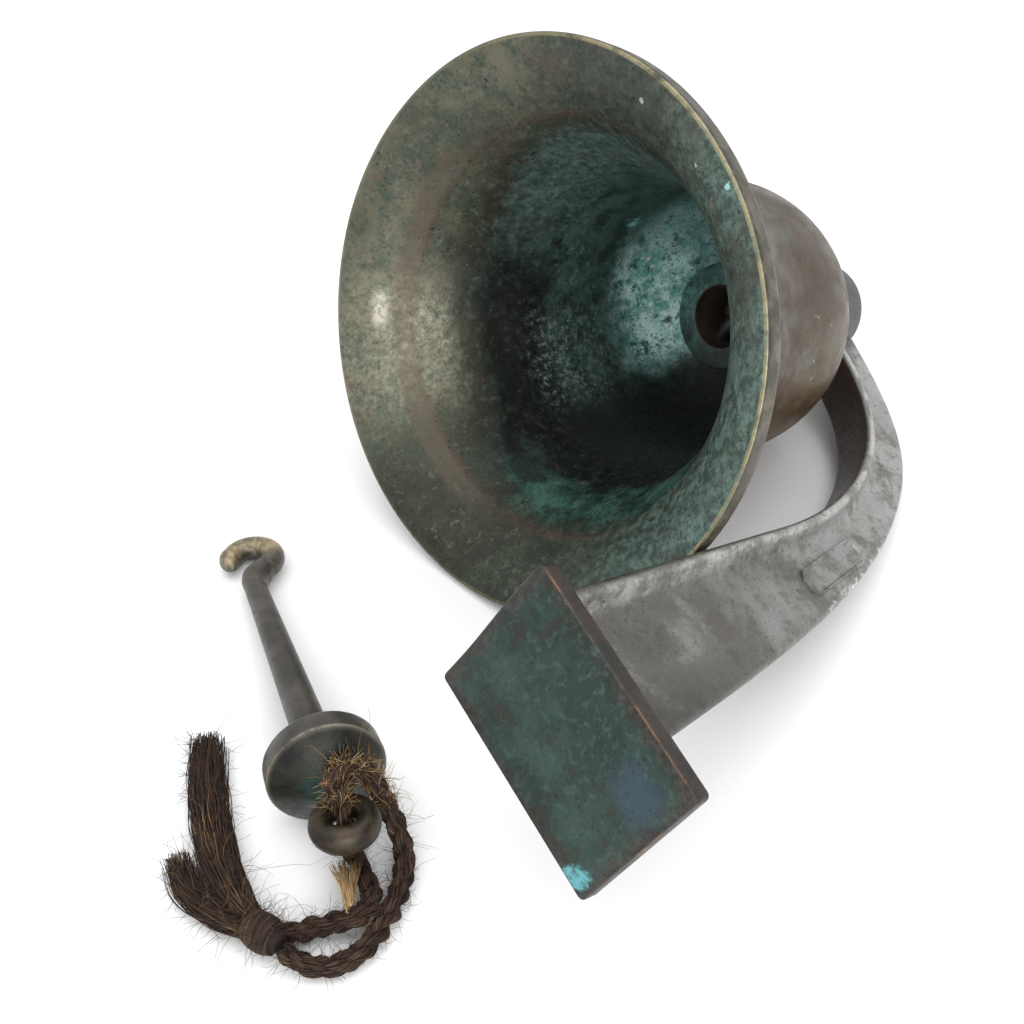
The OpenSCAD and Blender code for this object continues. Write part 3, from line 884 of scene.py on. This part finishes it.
    # a painted highlight spot on the left flare
    glint = m.mul(m.near(m.drift(x, loose, 0.003), 0.0095, 0.0042, 0.0003),
                  m.near(m.drift(v, loose, 0.1), -0.17, 0.13, 0.01))
    glint = m.mul(m.mul(glint, m.ramp(u, -0.5, -0.9)), m.ramp(fin, 0.38, 0.60, 0.1, 1.0))
    base = m.over(base, glint, 0.7, (0.72, 0.69, 0.58))
    lip = m.mul(m.ramp(r, *RIM_RADII), m.ramp(mid, 0.34, 0.56))
    lip = m.mul(lip, m.ramp(m.drift(u, loose, 0.4), -0.35, 0.6, 0.3, 1.0))
    base = m.over(base, lip, 0.75, (0.40, 0.345, 0.21))
    shine = m.math("MAXIMUM", rub_and_highlight, lip)
    metal = m.drift(m.ramp(xs, 0.03, 0.06, 0.5, 0.15), shine, 0.4)
    rough = m.drift(m.ramp(fin, 0.3, 0.7, 0.30, 0.6), shine, -0.08)
    nrm = m.bump(m.noise(co, 420, 8, 0.8), 0.5, 0.0005, m.bump(mid, 0.4, 0.0012))
    return m.set(color=base, metal=metal, rough=rough, spec=0.38, normal=nrm)


def grey_bracket():
    """Leaded grey casting: pale at the elbow, sooty near the foot, dark red-brown inside the flange."""
    m = Nodes("bracket_grey")
    co, x, y, z = m.place()
    across = m.attr("tone")
    big = m.noise(co, 17, 8, 0.66, 0.15)
    mid = m.noise(co, 70, 9, 0.72)
    fin = m.noise(co, 260, 8, 0.76)
    along = m.ramp(m.drift(x, m.add(big, -0.5), 0.2), -0.07, 0.17)
    base = m.mix(along, (0.095, 0.092, 0.082), (0.30, 0.298, 0.288))
    base = m.mix(m.ramp(mid, 0.40, 0.56, 0.8, 0), base, (0.07, 0.066, 0.056))
    stain = m.mul(m.ramp(m.noise(co, 42, 10, 0.78), 0.50, 0.60), m.ramp(x, 0.16, 0.0, 0.15, 0.75))
    base = m.mix(stain, base, (0.062, 0.056, 0.045))
    base = m.spots(base, m.noise(co, 34, 9, 0.72), 0.50, 0.62, 0.45, (0.24, 0.245, 0.245))
    soot = m.mul(m.ramp(across, 0.55, 0.98), m.ramp(x, 0.05, -0.09))
    base = m.mix(m.mul(soot, m.ramp(mid, 0.3, 0.55, 0.35, 0.9)), base, (0.035, 0.033, 0.029))
    # a pale bead and a dark crust along the inner edge
    bead = m.mul(m.near(across, 0.095, 0.08, 0.01), m.ramp(mid, 0.38, 0.62, 0.15, 0.95))
    base = m.mix(bead, base, (0.43, 0.425, 0.41))
    crust = m.mul(m.ramp(across, 0.06, 0.02), m.ramp(mid, 0.40, 0.56))
    base = m.over(base, crust, 0.75, (0.045, 0.038, 0.030))
    base = m.spots(base, fin, 0.55, 0.66, 0.75, (0.04, 0.037, 0.032))
    base = m.spots(base, m.noise(co, 520, 5, 0.7), 0.6, 0.68, 0.7, (0.02, 0.018, 0.015))
    # the boss is darker than the arm
    r = polar(m, y, z)[0]
    boss_c = m.pair(fin, 0.4, 0.6, (0.026, 0.026, 0.025), (0.068, 0.067, 0.065))
    base = m.over(base, m.ramp(r, 0.034, 0.030), 0.85, boss_c)
    inner_c = m.pair(mid, 0.4, 0.62, (0.022, 0.015, 0.013), (0.06, 0.040, 0.035))
    base = m.mix(m.mul(m.ramp(across, 0.012, 0.004), m.ramp(mid, 0.3, 0.55, 0.75, 1.0)), base, inner_c)
    # chips near the outer edge, painted near-white as bright glints
    chips_and_glints = m.mul(m.ramp(across, 0.90, 0.985), m.mul(m.ramp(x, 0.05, 0.08), m.ramp(x, 0.17, 0.13)))
    chips_and_glints = m.mul(chips_and_glints, m.ramp(m.noise(co, 190, 6, 0.84), 0.53, 0.58))
    base = m.mix(chips_and_glints, base, (0.75, 0.75, 0.72))
    swell = m.bump(m.noise(co, 26, 6, 0.6), 0.35, 0.004)
    nrm = m.bump(fin, 0.45, 0.0006, m.bump(mid, 0.5, 0.002, swell))
    return m.set(color=base, metal=m.ramp(mid, 0.4, 0.6, 0.25, 0.5),
                 rough=m.ramp(fin, 0.3, 0.7, 0.24, 0.46), normal=nrm)


def foot_patina():
    """Verdigris over brown on the plate's face, brown edges, and copper on the arrises, worn and painted
    lighter as a glint.
    """
    m = Nodes("foot_patina")
    co, x, y, z = m.place()
    big = m.noise(co, 22, 8, 0.62, 0.15)
    mid = m.noise(co, 75, 9, 0.7)
    fin = m.noise(co, 280, 7, 0.74)
    loose = m.mul(m.add(mid, -0.5), 0.02)
    ys = m.add(y, loose)
    zs = m.add(z, loose)
    green = m.pair(big, 0.38, 0.6, (0.010, 0.025, 0.020), (0.022, 0.048, 0.040))
    green = m.spots(green, fin, 0.5, 0.64, 0.65, (0.048, 0.088, 0.074))
    green = m.spots(green, mid, 0.52, 0.64, 0.75, (0.026, 0.022, 0.016))
    blue = m.mul(m.near(ys, FOOT_BLUE[0], 0.016, 0.004), m.near(zs, FOOT_BLUE[1], 0.015, 0.004))
    green = m.mix(m.mul(blue, m.ramp(mid, 0.36, 0.56, 0.1, 0.75)), green, (0.032, 0.058, 0.085))
    margin = m.math("MAXIMUM", m.near(zs, 0.0, 0.027, 0.034), m.near(ys, FOOT_MIDDLE, 0.040, 0.047))
    margin = m.mul(margin, m.ramp(big, 0.36, 0.56, 0.35, 1.0))
    base = m.mix(margin, green, m.pair(fin, 0.4, 0.6, (0.018, 0.015, 0.013), (0.048, 0.036, 0.029)))
    side_c = m.pair(mid, 0.4, 0.6, (0.014, 0.011, 0.009), (0.042, 0.031, 0.025))
    base = m.mix(m.ramp(x, -0.1176, -0.1168), base, side_c)
    # copper wear along the face's edge, painted lighter as a glint
    arris_wear_and_glint = m.mul(m.near(x, FOOT_ARRIS, 0.0005, 0.0002), m.ramp(mid, 0.48, 0.62))
    base = m.over(base, arris_wear_and_glint, 0.7, (0.20, 0.105, 0.06))
    bloom = m.mul(nick(m, co, (-118.2, 217, 32), 6.5, mid), m.ramp(fin, 0.34, 0.56))
    base = m.mix(bloom, base, (0.10, 0.34, 0.37))
    base = m.spots(base, m.noise(co, 600, 4, 0.6), 0.6, 0.68, 0.7, (0.008, 0.009, 0.007))
    return m.set(color=base, metal=m.ramp(mid, 0.4, 0.6, 0.3, 0.5), rough=m.ramp(fin, 0.3, 0.7, 0.38, 0.62),
                 normal=m.bump(fin, 0.35, 0.0005, m.bump(mid, 0.3, 0.0012)))


def clapper_bronze():
    """Dark bronze: sooty shank, near-black striker face, green neck, and a golden worn hook."""
    m = Nodes("clapper_bronze")
    co, x, y, z = m.place()
    mid = m.noise(co, 75, 8, 0.68)
    fin = m.noise(co, 300, 7, 0.72)
    base = m.pair(mid, 0.38, 0.62, (0.042, 0.038, 0.032), (0.080, 0.072, 0.060))
    base = m.spots(base, fin, 0.54, 0.68, 0.7, (0.016, 0.014, 0.011))
    hook_c = m.pair(fin, 0.4, 0.6, (0.07, 0.062, 0.05), (0.15, 0.14, 0.12))
    base = m.over(base, m.ramp(x, 0.016, 0.006), 0.6, hook_c)
    face_c = m.pair(mid, 0.4, 0.6, (0.004, 0.005, 0.004), (0.017, 0.016, 0.011))
    base = m.mix(m.ramp(x, 0.1568, 0.1582), base, face_c)
    neck = m.mul(m.ramp(x, 0.1635, 0.168), m.ramp(fin, 0.3, 0.55, 0.6, 1.0))
    base = m.over(base, neck, 0.9, m.pair(mid, 0.4, 0.6, (0.002, 0.008, 0.006), (0.006, 0.034, 0.028)))
    # a painted highlight, over some wear, along the striker's crisp edge
    rim = m.mul(m.near(x, BALL_RIM, 0.0006, 0.0002), m.ramp(mid, 0.4, 0.56))
    base = m.over(base, rim, 0.6, (0.22, 0.19, 0.14))
    eye_c = m.pair(mid, 0.4, 0.6, (0.014, 0.010, 0.006), (0.048, 0.034, 0.019))
    base = m.mix(m.ramp(x, 0.174, 0.178), base, eye_c)
    gold = m.mul(m.ramp(x, 0.006, -0.002), m.ramp(m.drift(z, m.add(mid, -0.5), 0.006), -0.0005, 0.004))
    gold = m.mul(gold, m.mul(m.ramp(mid, 0.38, 0.62, 0.35, 1.0), m.ramp(fin, 0.36, 0.66, 0.5, 1.0)))
    base = m.over(base, gold, 0.9, (0.46, 0.36, 0.21))
    rough = m.drift(m.ramp(fin, 0.3, 0.7, 0.30, 0.52), gold, -0.04)
    nrm = m.bump(fin, 0.3, 0.0004, m.bump(mid, 0.3, 0.001))
    return m.set(color=base, metal=m.add(m.mul(gold, 0.35), 0.5), rough=rough, normal=nrm)


def hanger_patina():
    """The same verdigris as the crown round it, with a brown recess."""
    m = Nodes("hanger_patina")
    co, x, y, z = m.place()
    r, _, v = polar(m, y, z)
    mid = m.noise(co, 55, 9, 0.72, 0.1)
    fin = m.noise(co, 190, 8, 0.74)
    base = m.pair(fin, 0.38, 0.6, (0.020, 0.062, 0.056), (0.065, 0.19, 0.17))
    base = m.spots(base, mid, 0.45, 0.62, 0.8, (0.012, 0.02, 0.016))
    base = m.spots(base, v, 0.2, 0.8, 0.8, (0.012, 0.012, 0.009))
    recess_c = m.pair(mid, 0.4, 0.6, (0.035, 0.024, 0.019), (0.075, 0.056, 0.046))
    base = m.mix(m.ramp(r, 0.0172, 0.0158), base, recess_c)
    base = m.spots(base, m.noise(co, 620, 5, 0.65), 0.56, 0.66, 0.9, (0.006, 0.008, 0.006))
    return m.set(color=base, metal=0.2, rough=m.ramp(fin, 0.3, 0.7, 0.4, 0.65),
                 normal=m.bump(fin, 0.4, 0.0006))


def metal_plain(name, a, b, c, rough_lo, rough_hi, metal):
    m = Nodes(name)
    co = m.place()[0]
    fine = m.noise(co, 210, 6, 0.7)
    base = m.pair(m.noise(co, 30, 5, 0.6, 0.3), 0.35, 0.65, a, b)
    base = m.mix(m.ramp(fine, 0.52, 0.72, 0, 0.7), base, c)
    rough = m.ramp(fine, 0.3, 0.7, rough_lo, rough_hi)
    return m.set(color=base, metal=metal, rough=rough, normal=m.bump(fine, 0.25, 0.0004))


def fibre(name, dark, mid, light):
    """Coarse plant fibre, each strand of its own tone."""
    m = Nodes(name)
    co = m.place()[0]
    v = m.drift(m.attr("tone"), m.add(m.noise(co, 160, 4, 0.6), -0.5), 0.5)
    patchy = m.drift(v, m.add(m.noise(co, 38, 3, 0.5), -0.5), 1.2)
    base = m.mix(m.ramp(patchy, 0.72, 1.05), m.pair(v, 0.15, 0.6, dark, mid), light)
    return m.set(color=base, rough=0.75, spec=0.25, normal=m.bump(m.noise(co, 900, 3, 0.6), 0.5, 0.0003))


def dress(material, *obs):
    for ob in obs:
        ob.data.materials.append(material)


dress(metal_bell_out(), bell)
dress(metal_bell_in(), bell)
# faces that look toward the axis, or lie inside the wall, take the inside finish
to_own = BELL.inverted()
turn_own = to_own.to_3x3()
for p in bell.data.polygons:
    c = to_own @ p.center * 1000
    nrm = turn_own @ p.normal
    radial = Vector((0, c.y, c.z)).normalized()
    inside = nrm.dot(radial) < -0.02 or (nrm.x < -0.6 and c.x < 60)
    p.material_index = 1 if inside and c.x < 184.5 else 0

dress(grey_bracket(), arm, boss, cartouche)
dress(foot_patina(), foot)
dress(hanger_patina(), hanger)
dress(metal_plain("pin_dark", (0.03, 0.03, 0.026), (0.06, 0.055, 0.05), (0.015, 0.012, 0.01),
                  0.35, 0.6, 0.6), pin)
dress(clapper_bronze(), hook, shank, ball, eye)
dress(fibre("coir", (0.014, 0.008, 0.006), (0.062, 0.036, 0.022), (0.22, 0.135, 0.065)),
      over, under, knot_piece, tassel_main, tassel_side, fuzz_piece, fuzz_tassel)
dress(fibre("coir_golden", (0.10, 0.055, 0.022), (0.28, 0.17, 0.075), (0.55, 0.40, 0.22)), tuft, frays)
washers = [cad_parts[name] for name in ("crown_washer_outer", "crown_washer_inner")]
for ob in washers:
    ob.data.materials.clear()
dress(metal_plain("washer_leather", (0.05, 0.03, 0.018), (0.08, 0.05, 0.03), (0.02, 0.012, 0.008),
                  0.7, 0.9, 0.0), *washers)

# -------------------- bodies, hiding the parts the rope replaces
for ob, name in ((bell, "bell_bronze"), (arm, "bracket_bronze"), (cartouche, "bracket_bronze"),
                 (boss, "bracket_bronze"), (foot, "foot_bronze"), (hanger, "hanger_bronze"),
                 (pin, "pin_steel")):
    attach(ob, "bell_body")
for ob in (hook, shank, ball, eye):
    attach(ob, "clapper")
for ob, nodes in ((over, ["rope_leg_over"]), (under, ["rope_leg_under"]), (knot_piece, ["rope_knot"]),
                  (tassel_main, ["rope_tassel_main"]), (tassel_side, ["rope_tassel_side"]),
                  (tuft, ["rope_tuft"]), (fuzz_piece, []), (fuzz_tassel, []), (frays, [])):
    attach(ob, "clapper")
    if nodes:
        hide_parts(*nodes)

# -------------------- floor and light
bpy.ops.mesh.primitive_plane_add(size=6, location=(0, 0, 0))
floor = bpy.context.object
floor.name = "floor"
fm = Nodes("floor_white")
patches = fm.noise(fm.place()[0], 3, 2, 0.5)
fm.set(color=fm.pair(patches, 0.3, 0.7, (0.80, 0.80, 0.81), (0.83, 0.83, 0.835)), rough=0.6, spec=0.2)
dress(fm.mat, floor)

world = bpy.data.worlds.new("studio")
scene.world = world
world.use_nodes = True
bg = world.node_tree.nodes["Background"]
bg.inputs[0].default_value = (0.98, 0.99, 1.0, 1)
bg.inputs[1].default_value = 0.95


def area(name, loc, target, size, power, color=(1, 1, 1)):
    data = bpy.data.lights.new(name, "AREA")
    data.shape = "RECTANGLE"
    data.size, data.size_y = size
    data.energy = power
    data.color = color
    ob = bpy.data.objects.new(name, data)
    scene.collection.objects.link(ob)
    ob.location = loc
    ob.rotation_euler = (Vector(target) - Vector(loc)).to_track_quat("-Z", "Y").to_euler()


area("window", (-0.72, -1.15, 0.68), (0, 0, 0.12), (1.1, 0.45), 14, (1, 0.985, 0.96))
area("key", (-0.7, 0.5, 1.6), (0, 0, 0.08), (1.2, 1.2), 8, (1, 0.99, 0.97))
area("top", (0.5, -0.1, 1.7), (0.05, 0, 0), (2.0, 2.0), 18)
scene.view_settings.view_transform = "Standard"
